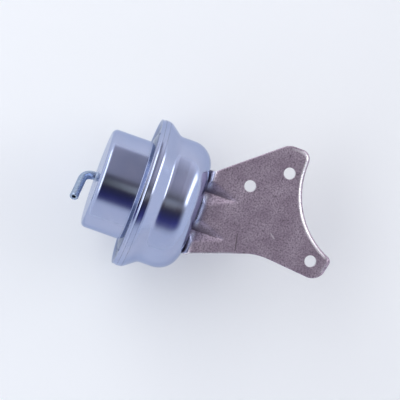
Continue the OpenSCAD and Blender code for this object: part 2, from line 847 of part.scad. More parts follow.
module rod_end() {
    shank_end_x = shank_x + shank_len;
    color(zinc) in_row_frame() difference() {
        union() {
            turned() polygon([
                [0, shank_x],
                [shank_r - chamfer, shank_x],
                [shank_r, shank_x + chamfer],
                [shank_r, shank_end_x - 4 * chamfer],
                [eye_t / 2, shank_end_x],
                [eye_t / 2, shank_end_x + shank_in_eye],
                [0, shank_end_x + shank_in_eye]
            ]);
            translate([eye_centre_x, eye_t / 2, 0]) rotate([90, 0, 0]) cylinder(r = eye_r, h = eye_t);
        }
        translate([shank_x - over, 0, 0]) rotate([0, 90, 0])
            cylinder(r = thread_r + running_gap, h = shank_len - shank_solid + over);
        translate([eye_centre_x, eye_t / 2 + over, 0]) rotate([90, 0, 0])
            cylinder(r = eye_bush_r + fit_gap, h = eye_t + 2 * over);
    }
}

module eye_bush() {
    long = eye_t + 2 * eye_bush_proud;
    color(bright_steel) in_row_frame() translate([eye_centre_x, long / 2, 0])
        rotate([90, 0, 0]) difference() {
            cylinder(r = eye_bush_r, h = long);
            translate([0, 0, -over]) cylinder(r = pin_r, h = long + 2 * over);
        }
}

vacuum_cup();
hose_nipple();
nipple_braze();
base_can();
diaphragm();
piston_cup();
backing_plate();
rivet_washer();
pull_rod();
return_spring();
spring_seat();
travel_stop();
stop_ring();
bush_housing();
guide_bush();
bush_retainer();
rod_wiper();
wiper_cap();
bracket();
mounting_studs();
spring_washers();
stud_nuts();
jam_nut();
rod_end();
eye_bush();
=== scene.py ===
"""Looks of the turbo actuator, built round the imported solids.

Lengths are millimetres in the can's own frame, with x along the can's axis from the crimp plane,
y away from the camera and z up. They are moved to the row's frame and scaled to metres at the end.
"""
import math

import bmesh
import bpy
import numpy as np
from mathutils import Matrix, Vector, geometry, noise


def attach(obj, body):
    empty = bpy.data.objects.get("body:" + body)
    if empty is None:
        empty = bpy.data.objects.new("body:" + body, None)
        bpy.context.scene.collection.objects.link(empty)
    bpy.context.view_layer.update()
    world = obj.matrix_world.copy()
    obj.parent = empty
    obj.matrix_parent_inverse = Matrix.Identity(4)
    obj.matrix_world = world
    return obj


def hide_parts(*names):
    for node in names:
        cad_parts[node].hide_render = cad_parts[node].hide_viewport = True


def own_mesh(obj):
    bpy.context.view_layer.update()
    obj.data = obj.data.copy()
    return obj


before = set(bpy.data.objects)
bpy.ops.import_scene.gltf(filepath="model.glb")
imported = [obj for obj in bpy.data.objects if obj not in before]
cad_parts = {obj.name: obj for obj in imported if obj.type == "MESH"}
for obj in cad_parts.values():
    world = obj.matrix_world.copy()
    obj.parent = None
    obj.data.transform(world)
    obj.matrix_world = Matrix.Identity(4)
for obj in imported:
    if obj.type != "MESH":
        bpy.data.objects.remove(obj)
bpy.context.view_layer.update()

MM = 0.001
CAN_ORIGIN = np.array([-48.3, 13.0, -19.9])     # where the can's frame lies in the row's, in mm
CAN_END = 28.7                                  # the can's end face
STUD_Z = (14, -14)                              # heights of the two studs
SHARP = 33.0                                    # edges steeper than this many degrees look sharp
WELD = 2e-7                                     # points nearer than this, in metres, are one


def to_row(points):
    return (np.asarray(points, float) + CAN_ORIGIN) * MM


def new_object(name, data):
    thing = bpy.data.objects.new(name, data)
    bpy.context.scene.collection.objects.link(thing)
    return thing


# ---------------------------------------------------------------- camera
VIEW_TURN = math.radians(4.15)
VIEW_ROLL = math.radians(19.5)
VIEW_TARGET = Vector((-0.0191, 0.0130, -0.0140))
VIEW_DISTANCE = 2.5
VIEW_LENS = 478.7

ahead = Vector((math.sin(VIEW_TURN), math.cos(VIEW_TURN), 0))
level = Vector((math.cos(VIEW_TURN), -math.sin(VIEW_TURN), 0))
upright = Vector((0, 0, 1))
right = level * math.cos(VIEW_ROLL) + upright * math.sin(VIEW_ROLL)
up = upright * math.cos(VIEW_ROLL) - level * math.sin(VIEW_ROLL)
camera = new_object("camera", bpy.data.cameras.new("camera"))
camera.data.sensor_width = 36
camera.data.lens = VIEW_LENS
camera.data.clip_end = 50
camera.matrix_world = Matrix.Translation(VIEW_TARGET - ahead * VIEW_DISTANCE) @ Matrix(
    [[right[i], up[i], -ahead[i]] for i in range(3)]).to_4x4()
bpy.context.scene.camera = camera
bpy.context.scene.view_settings.view_transform = "Standard"


# ---------------------------------------------------------------- node helpers
class Nodes:
    """Short ways to add and join shader nodes."""

    def __init__(self, tree):
        self.tree = tree
        tree.nodes.clear()

    def add(self, kind, **settings):
        node = self.tree.nodes.new(kind)
        for key, value in settings.items():
            setattr(node, key, value)
        return node

    def put(self, socket, value):
        if isinstance(value, bpy.types.NodeSocket):
            self.tree.links.new(value, socket)
        else:
            socket.default_value = value

    def made(self, kind, values, **settings):
        """The first output of a new node. Its inputs' values come by name, or as a list in their order."""
        node = self.add(kind, **settings)
        for key, value in values.items() if isinstance(values, dict) else enumerate(values):
            self.put(node.inputs[key], value)
        return node.outputs[0]

    def math(self, operation, *values, clamp=False):
        return self.made("ShaderNodeMath", values, operation=operation, use_clamp=clamp)

    def times(self, first, second):
        return self.math("MULTIPLY", first, second)

    def rest(self, share):
        return self.math("SUBTRACT", 1.0, share)

    def smooth(self, value, low, high):
        """0 below low, 1 above high, and a smooth step between them."""
        return self.made("ShaderNodeMapRange", {"Value": value, "From Min": low, "From Max": high},
                         interpolation_type="SMOOTHSTEP")

    def band(self, value, rise_from, rise_to, fall_from, fall_to):
        """1 in the middle of a range of values, with a smooth rise before it and a smooth fall after it."""
        return self.times(self.smooth(value, rise_from, rise_to), self.rest(self.smooth(value, fall_from, fall_to)))

    def scaled(self, value, low, high, start, end):
        """low at start, high at end, and a straight line between them."""
        return self.made("ShaderNodeMapRange", {"Value": value, "From Min": start, "From Max": end,
                                                "To Min": low, "To Max": high})

    def noise(self, place, scale, detail, rough):
        return self.made("ShaderNodeTexNoise", {"Vector": place, "Scale": scale, "Detail": detail,
                                                "Roughness": rough})

    def ramp(self, value, stops):
        node = self.add("ShaderNodeValToRGB")
        self.put(node.inputs[0], value)
        while len(node.color_ramp.elements) < len(stops):
            node.color_ramp.elements.new(0.5)
        for element, (place, colour) in zip(node.color_ramp.elements, stops):
            element.position = place
            element.color = (*colour, 1)
        return node.outputs["Color"]

    def mix(self, share, first, second):
        node = self.add("ShaderNodeMix", data_type="RGBA", blend_type="MIX")
        self.put(node.inputs[0], share)
        for socket, value in ((node.inputs[6], first), (node.inputs[7], second)):
            self.put(socket, value if isinstance(value, bpy.types.NodeSocket) else (*value, 1))
        return node.outputs[2]

    def layer(self, name):
        """A number that the mesh carries at each point."""
        return self.add("ShaderNodeAttribute", attribute_name=name).outputs["Fac"]

    def vector(self, operation, *values):
        node = self.add("ShaderNodeVectorMath", operation=operation)
        for socket, value in zip(node.inputs, values):
            self.put(socket, value)
        return node

    def from_line(self, place, first, last):
        """Distance from the line between two points."""
        run = Vector(last) - Vector(first)
        out = self.vector("SUBTRACT", place, tuple(first)).outputs[0]
        share = self.vector("DOT_PRODUCT", out, tuple(run / run.length_squared)).outputs["Value"]
        share = self.math("MINIMUM", self.math("MAXIMUM", share, 0.0), 1.0)
        node = self.vector("SCALE", tuple(run))
        self.put(node.inputs["Scale"], share)
        return self.vector("DISTANCE", out, node.outputs[0]).outputs["Value"]

    def stretched(self, place, scale):
        return self.made("ShaderNodeMapping", {"Vector": place, "Scale": scale})

    def surface(self, shader):
        self.put(self.add("ShaderNodeOutputMaterial").inputs["Surface"], shader)


def new_material(name):
    material = bpy.data.materials.new(name)
    material.use_nodes = True
    return material, Nodes(material.node_tree)


# ---------------------------------------------------------------- stage and light
CARD_EDGE = 92                                  # degrees from straight ahead to a card's upper and lower edge
CARD_STEPS = 96
CARD_X = 4                                      # the middle of the cards along the can's axis
TENT = (0.85, 0.90, 1.0)
LEFT_LAMP = (2.5, 2.55, 2.6)
RIGHT_LAMP = (3.0, 3.0, 3.0)
# Colour of the tent's front, by the angle above straight ahead in degrees
SLIT = [
    (-92, (0.80, 0.84, 0.92)), (-74, (0.76, 0.80, 0.90)), (-57, (0.74, 0.78, 0.89)), (-50, (0.58, 0.62, 0.72)),
    (-43, (0.19, 0.20, 0.36)), (-34, (0.060, 0.062, 0.25)), (-22, (0.040, 0.042, 0.12)),
    (-12, (0.052, 0.046, 0.068)), (-6, (0.16, 0.14, 0.14)), (-1, (0.37, 0.36, 0.36)), (4, (0.31, 0.31, 0.33)),
    (10, (0.19, 0.18, 0.18)), (16, (0.32, 0.31, 0.33)), (24, (0.48, 0.45, 0.49)), (34, (0.60, 0.57, 0.63)),
    (46, (0.62, 0.59, 0.65)), (60, (0.62, 0.60, 0.65)), (74, (0.78, 0.77, 0.84)), (82, (0.93, 0.94, 1.02)),
    (92, (0.96, 0.98, 1.06)),
]


def light_card(name, radius, half_width, colour_of):
    """A half pipe round the can's axis that lights the object and that the camera doesn't see."""
    turns = [math.radians(-CARD_EDGE + 2 * CARD_EDGE * i / CARD_STEPS) for i in range(CARD_STEPS + 1)]
    verts = [(x, -radius * math.cos(t), radius * math.sin(t)) for t in turns for x in (-half_width, half_width)]
    faces = [(2 * i, 2 * i + 1, 2 * i + 3, 2 * i + 2) for i in range(CARD_STEPS)]
    mesh = bpy.data.meshes.new(name)
    mesh.from_pydata(verts, [], faces)
    card = new_object(name, mesh)
    card.location = to_row((CARD_X, 0, 0))
    material, n = new_material(name)
    axes = n.add("ShaderNodeSeparateXYZ")
    n.put(axes.inputs[0], n.add("ShaderNodeTexCoord").outputs["Object"])
    out, back, high = axes.outputs
    turn = n.times(n.math("ARCTAN2", high, n.times(back, -1.0)), 180 / math.pi)
    colour, cover = colour_of(n, n.math("DIVIDE", out, radius), turn)
    clear = n.made("ShaderNodeBsdfTransparent", {})
    glow = n.made("ShaderNodeEmission", {"Color": colour})
    n.surface(n.made("ShaderNodeMixShader", (cover, clear, glow)))
    mesh.materials.append(material)
    card.visible_camera = False


def slit_colour(n, across, turn):
    """The dark slit that the camera looks through, the tent beside it, and a bright lamp behind each side.

    across is the place along the can's axis over the card's radius, and turn the angle above straight ahead.
    """
    inside = n.ramp(n.scaled(turn, 0, 1, -CARD_EDGE, CARD_EDGE),
                    [((t + CARD_EDGE) / (2 * CARD_EDGE), c) for t, c in SLIT])
    to_left = n.times(across, -1.0)
    upper = n.smooth(turn, 0, 14)
    leave_left = n.smooth(to_left, 0.06, 0.42)
    leave_right = n.math("ADD", n.times(n.smooth(across, 0.42, 0.85), upper),
                         n.times(n.smooth(across, 0.50, 1.6), n.rest(upper)))
    colour = n.mix(n.math("MAXIMUM", leave_left, leave_right), inside, TENT)
    below_top = n.rest(n.smooth(turn, 70, 88))
    left_lamp = n.times(n.band(to_left, 0.28, 0.50, 0.85, 1.2), n.smooth(turn, -42, -18))
    right_lamp = n.times(n.band(across, 0.66, 0.80, 1.08, 1.28), upper)
    colour = n.mix(n.times(left_lamp, below_top), colour, LEFT_LAMP)
    return n.mix(n.times(right_lamp, below_top), colour, RIGHT_LAMP), 1.0


def shade_colour(n, across, turn):
    """A small shade near the object, which only the cup's wall reflects: grey above, nearly black below, and
    between them a strip that is dark on the left and light on the right."""
    high = n.band(turn, 12, 22, 80, 90)
    low = n.band(turn, -48, -36, -12, -5)
    strip = n.band(turn, -12, -5, 3, 8)
    dim = n.band(turn, 3, 8, 14, 20)
    cover = n.math("ADD", n.times(n.math("ADD", high, strip), 0.92), n.times(n.math("ADD", low, dim), 0.5),
                   clamp=True)
    cover = n.times(cover, n.band(across, -0.17, -0.11, 0.055, 0.090))
    grey = n.mix(n.smooth(across, -0.07, 0.10), (0.50, 0.48, 0.54), (0.06, 0.08, 0.14))
    light = n.mix(n.smooth(across, -0.02, 0.08), (0.02, 0.02, 0.02), (0.72, 0.77, 0.74))
    colour = n.mix(n.smooth(turn, 10, 20), (0.01, 0.012, 0.05), grey)
    return n.mix(strip, colour, light), cover


light_card("tent_front", radius=1.6, half_width=3.2, colour_of=slit_colour)
light_card("tent_shade", radius=0.35, half_width=0.2, colour_of=shade_colour)

world = bpy.context.scene.world or bpy.data.worlds.new("world")
bpy.context.scene.world = world
world.use_nodes = True
world.node_tree.nodes["Background"].inputs["Color"].default_value = (*TENT, 1)

TABLE_HALF = 4.0                                # metres
TABLE_Y = 36.4
TABLE_MATT = (0.85, 0.86, 0.87, 1)              # what the table gives back to matt surfaces
TABLE_LIT = (0.84, 0.85, 0.86, 1)               # its colour to the camera and in reflections
TABLE_GLOW = (0.98, 1.0, 1.0, 1)


def pale_table():
    """The pale table that the actuator lies on, with its back left open to the views from behind."""
    mesh = bpy.data.meshes.new("table")
    corners = [(x * TABLE_HALF, 0, z * TABLE_HALF) for x, z in ((-1, -1), (1, -1), (1, 1), (-1, 1))]
    mesh.from_pydata(corners, [], [(0, 1, 2, 3)])
    table = new_object("table", mesh)
    table.location = to_row((0, TABLE_Y, 0))
    material, n = new_material("table")
    matt = n.made("ShaderNodeBsdfDiffuse", {"Color": TABLE_MATT})
    lit = n.made("ShaderNodeBsdfDiffuse", {"Color": TABLE_LIT})
    glow = n.made("ShaderNodeEmission", {"Color": TABLE_GLOW, "Strength": 0.12})
    seen = n.made("ShaderNodeAddShader", (lit, glow))
    rays = n.add("ShaderNodeLightPath").outputs
    direct = n.math("MAXIMUM", rays["Is Glossy Ray"], rays["Is Transmission Ray"])
    direct = n.math("MAXIMUM", rays["Is Camera Ray"], direct)
    front = n.made("ShaderNodeMixShader", (direct, matt, seen))
    behind = n.add("ShaderNodeNewGeometry").outputs["Backfacing"]
    n.surface(n.made("ShaderNodeMixShader", (behind, front, n.made("ShaderNodeBsdfTransparent", {}))))
    mesh.materials.append(material)


pale_table()

# ---------------------------------------------------------------- materials
PLATE_Y = -13.0                                 # the bracket's front face
PATCH_SPAN = (0.32, 0.68)                       # the patches' noise from a finish's darker to its lighter colour
GRAIN_SPAN = (0.42, 0.66)
GRAIN_SHADE = 0.55                              # the grain's colour as a share of the darker colour
SPECK_SCALE = 0.35                              # the specks' noise scale as a share of the grain's
WEAR_AND_HIGHLIGHT_SCALE = 420.0
SCRATCH_SCALE = (60, 900, 2600)


def finish(name, low, high, metallic, roughness, patch, grain, bump, stretch=(1, 1, 1), mottle=0.35,
           edge_tint=None, specks=None, wear_and_highlight_finish=None, painted_shade_tone=None, scratch=0.0, marks=()):
    """A surface whose colour and roughness drift in patches, with fine grain, specks, worn edges, painted highlights
    and painted shade.

    patch and grain are noise scales, bump is the grain's height in mm, and mottle is how much the grain darkens.
    specks is an amount and a colour; the wear and painted highlights' argument is a colour and a roughness; the
    painted shade's argument is a colour; and each of the marks is a line's two ends, half its width in mm and its
    colour.
    """
    material, n = new_material(name)
    place = n.add("ShaderNodeTexCoord").outputs["Object"]
    patches = n.noise(place, patch, detail=4.0, rough=0.6)
    fine = n.noise(n.stretched(place, stretch), grain, detail=3.0, rough=0.6)
    colour = n.ramp(patches, list(zip(PATCH_SPAN, (low, high))))
    colour = n.mix(n.scaled(fine, 0.0, mottle, *GRAIN_SPAN), colour, tuple(GRAIN_SHADE * c for c in low))
    rough = n.math("ADD", n.times(patches, 0.6), n.times(fine, 0.4))
    rough = n.scaled(rough, *roughness, start=0.3, end=0.7)
    if specks:
        amount, tone = specks
        spot = n.smooth(n.noise(place, grain * SPECK_SCALE, detail=2.0, rough=0.4), 0.66, 0.74)
        colour = n.mix(n.times(spot, amount), colour, tone)
    # Wear and painted highlights: a light, glossy colour laid on by the mesh's layer, real wear round the holes and
    # painted highlights along the rolled edge and on the bend.
    if wear_and_highlight_finish:
        tone, gloss = wear_and_highlight_finish
        patchy = n.noise(place, WEAR_AND_HIGHLIGHT_SCALE, detail=3.0, rough=0.5)
        patchy = n.scaled(patchy, 0.65, 1.0, start=0.35, end=0.6)
        wear = n.math("MULTIPLY", n.layer("wear"), patchy, clamp=True)
        colour = n.mix(wear, colour, tone)
        rough = n.math("MULTIPLY_ADD", wear, n.math("SUBTRACT", gloss, rough), rough)
    # Painted shade: the mesh's layer darkens the surface towards a dark tone in creases, folds and grooves between
    # parts.
    if painted_shade_tone:
        colour = n.mix(n.layer("grime"), colour, painted_shade_tone)
    for first, last, half_width, tone in marks:
        away = n.from_line(place, to_row(first), to_row(last))
        colour = n.mix(n.rest(n.smooth(away, 0.4 * half_width * MM, 1.3 * half_width * MM)), colour, tone)
    height = fine
    if scratch:
        lines = n.noise(n.stretched(place, SCRATCH_SCALE), 1.0, detail=2.0, rough=0.5)
        height = n.math("ADD", fine, n.times(n.smooth(lines, 0.62, 0.7), -scratch))
    values = {"Base Color": colour, "Metallic": metallic, "Roughness": rough,
              "Normal": n.made("ShaderNodeBump", {"Strength": 1.0, "Distance": bump * MM, "Height": height})}
    if edge_tint:
        values["Specular Tint"] = (*edge_tint, 1)
    n.surface(n.made("ShaderNodeBsdfPrincipled", values))
    return material


ZINC_EDGE = (0.70, 0.76, 0.88)
# Zinc plate: its dark tone is painted shade in the groove between the cup and the can.
ZINC = finish("zinc_plate", (0.41, 0.465, 0.655), (0.455, 0.49, 0.66), 1.0, (0.13, 0.19), patch=70, grain=2600,
              bump=0.0035, mottle=0.16, edge_tint=ZINC_EDGE, specks=(0.25, (0.35, 0.41, 0.62)),
              painted_shade_tone=(0.10, 0.11, 0.15))
ZINC_TUBE = finish("zinc_on_tube", (0.35, 0.435, 0.58), (0.40, 0.475, 0.60), 1.0, (0.20, 0.30), patch=260,
                   grain=1500, bump=0.012, edge_tint=ZINC_EDGE, specks=(0.3, (0.30, 0.36, 0.50)))
ZINC_BRAZE = finish("zinc_on_braze", (0.40, 0.47, 0.62), (0.46, 0.52, 0.66), 0.7, (0.34, 0.50), patch=600,
                    grain=1800, bump=0.03)
ZINC_NUT = finish("zinc_on_nuts", (0.42, 0.46, 0.60), (0.52, 0.54, 0.64), 1.0, (0.22, 0.34), patch=300, grain=2400,
                  bump=0.008, specks=(0.4, (0.25, 0.27, 0.33)))
# Raw steel: its light, glossy worn colour is partly painted highlight on the rolled edge and the bend, and its dark
# tone is painted shade in the dents and at the bend.
RAW = finish("raw_steel", (0.42, 0.33, 0.42), (0.575, 0.48, 0.565), 0.85, (0.36, 0.50), patch=120, grain=1250,
             bump=0.03, mottle=1.0, specks=(0.75, (0.20, 0.16, 0.20)), wear_and_highlight_finish=((0.92, 0.90, 0.94), 0.22),
             painted_shade_tone=(0.15, 0.12, 0.15), scratch=0.35,
             marks=(((50.1, PLATE_Y, -3.3), (51.6, PLATE_Y, -10.6), 0.3, (0.21, 0.17, 0.20)),
                    ((65.0, PLATE_Y, 2.0), (67.1, PLATE_Y, 0.3), 0.3, (0.66, 0.60, 0.66))))
BRIGHT = finish("bright_steel", (0.48, 0.49, 0.50), (0.58, 0.585, 0.59), 1.0, (0.20, 0.34), patch=220, grain=1800,
                bump=0.006, stretch=(0.15, 1, 1), specks=(0.3, (0.30, 0.28, 0.27)))
SPRING = finish("spring_steel", (0.20, 0.20, 0.21), (0.30, 0.30, 0.31), 1.0, (0.24, 0.38), patch=260, grain=2000,
                bump=0.008)
RUBBER = finish("rubber", (0.018, 0.018, 0.019), (0.032, 0.032, 0.033), 0.0, (0.5, 0.68), patch=300, grain=1600,
                bump=0.03)
RESIN = finish("resin", (0.035, 0.036, 0.038), (0.055, 0.056, 0.058), 0.0, (0.36, 0.5), patch=200, grain=1400,
               bump=0.015)
BRONZE = finish("bronze", (0.52, 0.36, 0.18), (0.62, 0.44, 0.24), 1.0, (0.28, 0.42), patch=260, grain=1700,
                bump=0.02, specks=(0.6, (0.10, 0.08, 0.06)))


# ---------------------------------------------------------------- mesh helpers
def new_mesh(name, points, faces):
    """A mesh from points in the can's frame."""
    mesh = bpy.data.meshes.new(name)
    mesh.from_pydata([tuple(p) for p in to_row(points)], [], [tuple(int(i) for i in f) for f in faces])
    return mesh


def weld(mesh):
    """Joins the points that lie on each other, and turns every face outward."""
    bm = bmesh.new()
    bm.from_mesh(mesh)
    bmesh.ops.remove_doubles(bm, verts=bm.verts, dist=WELD)
    bmesh.ops.recalc_face_normals(bm, faces=bm.faces)
    bm.to_mesh(mesh)
    bm.free()


def applied(host):
    """The mesh of an object with its modifiers applied. The object itself goes."""
    bpy.context.view_layer.update()
    mesh = bpy.data.meshes.new_from_object(host.evaluated_get(bpy.context.evaluated_depsgraph_get()))
    bpy.data.objects.remove(host)
    return mesh


def add_piece(name, points, faces, body, material, slot, nodes=(), sharp=SHARP, **layers):
    """A piece from points in the can's frame, with its layers of one number for each point."""
    mesh = new_mesh(name, points, faces)
    for key, values in layers.items():
        mesh.attributes.new(key, "FLOAT", "POINT").data.foreach_set("value", np.asarray(values, np.float32))
    weld(mesh)
    return place_piece(name, mesh, body, material, nodes, sharp)


def place_piece(name, mesh, body, material, nodes=(), sharp=SHARP):
    """A mesh as a piece that rides on a body and stands for some nodes."""
    mesh.polygons.foreach_set("use_smooth", [True] * len(mesh.polygons))
    mesh.set_sharp_from_angle(angle=math.radians(sharp))
    mesh.materials.clear()
    mesh.materials.append(material)
    piece = new_object(name, mesh)
    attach(piece, body)
    if nodes:
        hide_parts(*nodes)
    return piece


def unit(v):
    return v / np.linalg.norm(v)


def from_axis(points):
    return np.hypot(points[:, 1], points[:, 2])


def rounded(corners, step=8.0, closed=True):
    """Points of an outline through corners of the form (u, v, radius), with a point close to each arc's ends."""
    points = []
    count = len(corners)
    for i, (u, v, radius) in enumerate(corners):
        here = np.array((u, v), float)
        if radius == 0 or (not closed and i in (0, count - 1)):
            points.append(here)
            continue
        back = unit(np.array(corners[i - 1][:2]) - here)
        on = unit(np.array(corners[(i + 1) % count][:2]) - here)
        half = math.acos(max(-1.0, min(1.0, float(back @ on)))) / 2
        middle = here + unit(back + on) * radius / math.sin(half)
        first = here + back * radius / math.tan(half) - middle
        last = here + on * radius / math.tan(half) - middle
        start = math.atan2(first[1], first[0])
        sweep = (math.atan2(last[1], last[0]) - start + math.pi) % (2 * math.pi) - math.pi
        steps = max(3, math.ceil(abs(math.degrees(sweep)) / step))
        near = min(0.12, 0.08 * radius)
        points.append(middle + first + back * near)
        for k in range(steps + 1):
            turn = start + sweep * k / steps
            points.append(middle + radius * np.array((math.cos(turn), math.sin(turn))))
        points.append(middle + last + on * near)
    return np.array(points)


def spin(section, segments, closed=True, change=None, centre=(0, 0, 0)):
    """Turns a section of (radius, x) points about the can's axis. change(r, x, turn) may return a new radius."""
    section = np.asarray(section, float)
    turns = np.arange(segments) * 2 * math.pi / segments
    r, turn = np.meshgrid(section[:, 0], turns, indexing="ij")
    x = np.repeat(section[:, 1][:, None], segments, 1)
    if change:
        r = change(r, x, turn)
    points = np.stack([x, r * np.sin(turn), r * np.cos(turn)], -1).reshape(-1, 3) + np.array(centre)
    rows = len(section)
    faces = []
    for i in range(rows if closed else rows - 1):
        a, b = i * segments, (i + 1) % rows * segments
        for j in range(segments):
            k = (j + 1) % segments
            faces.append((a + j, b + j, b + k, a + k))
    return points, faces


def joined(*parts):
    """Several (points, faces) as one."""
    points, faces, start = [], [], 0
    for p, f in parts:
        points.append(np.asarray(p))
        faces += [tuple(i + start for i in face) for face in f]
        start += len(p)
    return np.concatenate(points), faces


def drift(points, size, amount, seed):
    """Smooth random numbers over points, of about this size and amount in mm."""
    shift = Vector((seed * 13.7, seed * 5.3, seed * 7.9))
    return np.array([noise.noise(Vector(p) / size + shift) for p in points]) * amount


def dent_radially(points, size, amount, seed):
    """Moves points a little in or out from the axis, as drawn sheet is never quite round."""
    points = np.array(points, float)
    push = drift(points, size, amount, seed) / np.maximum(from_axis(points), 1)
    points[:, 1:] *= (1 + push)[:, None]
    return points


def without_cylinders(mesh, cutters):
    """The mesh with round holes cut along x: each cutter is (centre, radius, x0, x1) in the can's frame."""
    for centre, radius, x0, x1 in cutters:
        section = [(0, x0), (radius, x0), (radius, x1), (0, x1)]
        tool_mesh = new_mesh("tool", *spin(section, segments=64, closed=False, centre=centre))
        weld(tool_mesh)
        tool = new_object("tool", tool_mesh)
        host = new_object("host", mesh)
        cut = host.modifiers.new("cut", "BOOLEAN")
        cut.operation = "DIFFERENCE"
        cut.solver = "EXACT"
        cut.object = tool
        mesh = applied(host)
        bpy.data.objects.remove(tool)
    return mesh


# ---------------------------------------------------------------- cup and can
UNEVEN = 0.03                                   # how far the drawn sheet strays from round
CUP_SECTION = [
    (2.02, -20.1, 0), (24.2, -20.1, 2.3), (24.2, -0.95, 0.3), (26.0, -0.46, 0), (28.6, 0.25, 0.4), (29.2, 1.84, 0.4),
    (34.0, 1.84, 0.1), (34.0, 2.74, 0.1), (28.6, 2.74, 0.4), (27.9, 1.1, 0.5),
    (23.3, -0.1, 0.3), (23.3, -19.2, 1.4), (2.02, -19.2, 0),
]
points, faces = spin(rounded(CUP_SECTION), segments=288)
# Painted shade on the cup's flare, in the groove under the can's lip.
crevice_shade = np.interp(from_axis(points), [24.25, 24.6, 26.2, 28.6], [0, 1.0, 0.95, 0.6]) * (points[:, 0] < 1.9)
add_piece("drawn_cup", dent_radially(points, size=14, amount=UNEVEN, seed=1), faces, "housing", ZINC, "zinc_plate",
          ["vacuum_cup"], grime=crevice_shade)

CAN_SECTION = [
    (8.02, 28.7, 0), (31.1, 28.7, 10.8), (31.1, 10.9, 4.0), (35.38, 5.3, 1.5), (35.78, 4.35, 2.0), (36.05, 3.0, 8.0),
    (35.95, 1.55, 1.3), (35.62, 0.95, 0.4), (35.9, -0.2, 0.2), (33.2, 0.8, 2.0), (29.35, 0.94, 0.25),
    (29.35, 1.84, 0.25), (34.6, 1.6, 0.3), (34.1, 4.885, 0.5), (30.6, 9.6, 0.4), (30.2, 10.3, 0.6),
    (30.2, 27.8, 9.9), (8.02, 27.8, 0),
]
VENT_Y, VENT_R = 14.5, 1.0
STUD_BORE = 2.52                                # the studs' holes in the can
CUT_FROM, CUT_TO = 26.5, 30

points, faces = spin(rounded(CAN_SECTION), segments=320)
# Painted shade on the lip's inner faces, in the fold that faces the cup.
fold_shade = 0.55 * np.interp(from_axis(points), [28.0, 29.0, 34.8, 35.7], [0, 1, 1, 0]) * (points[:, 0] < 1.0)
can = add_piece("drawn_can", dent_radially(points, size=16, amount=UNEVEN, seed=2), faces, "housing", ZINC,
                "zinc_plate", ["base_can"], grime=fold_shade)
can.data = without_cylinders(can.data, [((0, VENT_Y, 0), VENT_R, CUT_FROM, CUT_TO)] + [
    ((0, 0, z), STUD_BORE, CUT_FROM, CUT_TO) for z in STUD_Z])
can.data.set_sharp_from_angle(angle=math.radians(SHARP))

# ---------------------------------------------------------------- hose nipple
CUP_END = -20.1
CUP_WALL = 0.9
INSIDE, STRAIGHT = 1.5, 1.6                     # how far the tube runs into the cup, and straight out of it
NIPPLE_R, NIPPLE_BORE = 2.0, 0.9
BEND_R, BEND, LEG, CLOCK = 4.9, math.radians(84), 12.6, math.radians(43)
BEND_STEPS, LEG_STEPS, SIDES = 28, 40, 40
FLARE, FLARE_LENGTH = 0.12, 3.2                 # the tube widens a little at its open end
AXIS = np.array((1.0, 0, 0))
SWING = np.array((0, -math.sin(CLOCK), -math.cos(CLOCK)))
BESIDE = np.cross(AXIS, SWING)
# The open end's rounding, as (radius, distance past the end)
LIP = [(2.12, -0.5), (2.11, -0.36), (2.06, -0.2), (1.96, -0.07), (1.82, -0.01), (1.65, 0.0), (1.25, 0.0),
       (1.1, -0.02), (0.99, -0.09), (0.92, -0.2), (0.9, -0.34)]


def nipple_path():
    """Centre points of the tube, each with its direction, from inside the cup to the open end."""
    root = np.array((CUP_END - STRAIGHT, 0, 0))
    path = [(np.array((x, 0.0, 0.0)), -AXIS) for x in np.linspace(CUP_END + CUP_WALL + INSIDE, root[0], 7)]
    for k in range(1, BEND_STEPS + 1):
        t = BEND * k / BEND_STEPS
        path.append((root - AXIS * BEND_R * math.sin(t) + SWING * BEND_R * (1 - math.cos(t)),
                     -AXIS * math.cos(t) + SWING * math.sin(t)))
    end, way = path[-1]
    path += [(end + way * LEG * k / LEG_STEPS, way) for k in range(1, LEG_STEPS + 1)]
    return path


def ring_at(centre, way, radius):
    side = np.cross(way, BESIDE)
    turns = np.arange(SIDES) * 2 * math.pi / SIDES
    return centre + radius * (np.cos(turns)[:, None] * side + np.sin(turns)[:, None] * BESIDE)


path = nipple_path()
tip, way = path[-1]
rings = [ring_at(*path[0], NIPPLE_BORE)]
for centre, along in path[:-2]:
    left = np.linalg.norm(tip - centre)
    rings.append(ring_at(centre, along, NIPPLE_R + FLARE * max(0.0, 1 - left / FLARE_LENGTH) ** 0.7))
rings += [ring_at(tip + way * d, way, r) for r, d in LIP]
rings += [ring_at(c, w, NIPPLE_BORE) for c, w in path[::-1][2:-1]]
faces = []
for i in range(len(rings)):
    a, b = i * SIDES, (i + 1) % len(rings) * SIDES
    faces += [(a + j, b + j, b + (j + 1) % SIDES, a + (j + 1) % SIDES) for j in range(SIDES)]
add_piece("bent_nipple", np.concatenate(rings), faces, "housing", ZINC_TUBE, "zinc_plate", ["hose_nipple"])

BRAZE = [(2.0, -20.05), (2.0, -20.95), (2.09, -20.8), (2.2, -20.6), (2.4, -20.4), (2.7, -20.23), (3.0, -20.14),
         (3.2, -20.05)]
points, faces = spin(BRAZE, segments=72)
swell = np.where(from_axis(points) > NIPPLE_R + 0.05, 1 + drift(points, size=1.1, amount=0.04, seed=3), 1.0)
points[:, 1:] *= swell[:, None]
add_piece("braze_ring", points, faces, "housing", ZINC_BRAZE, "zinc_plate", ["nipple_braze"])

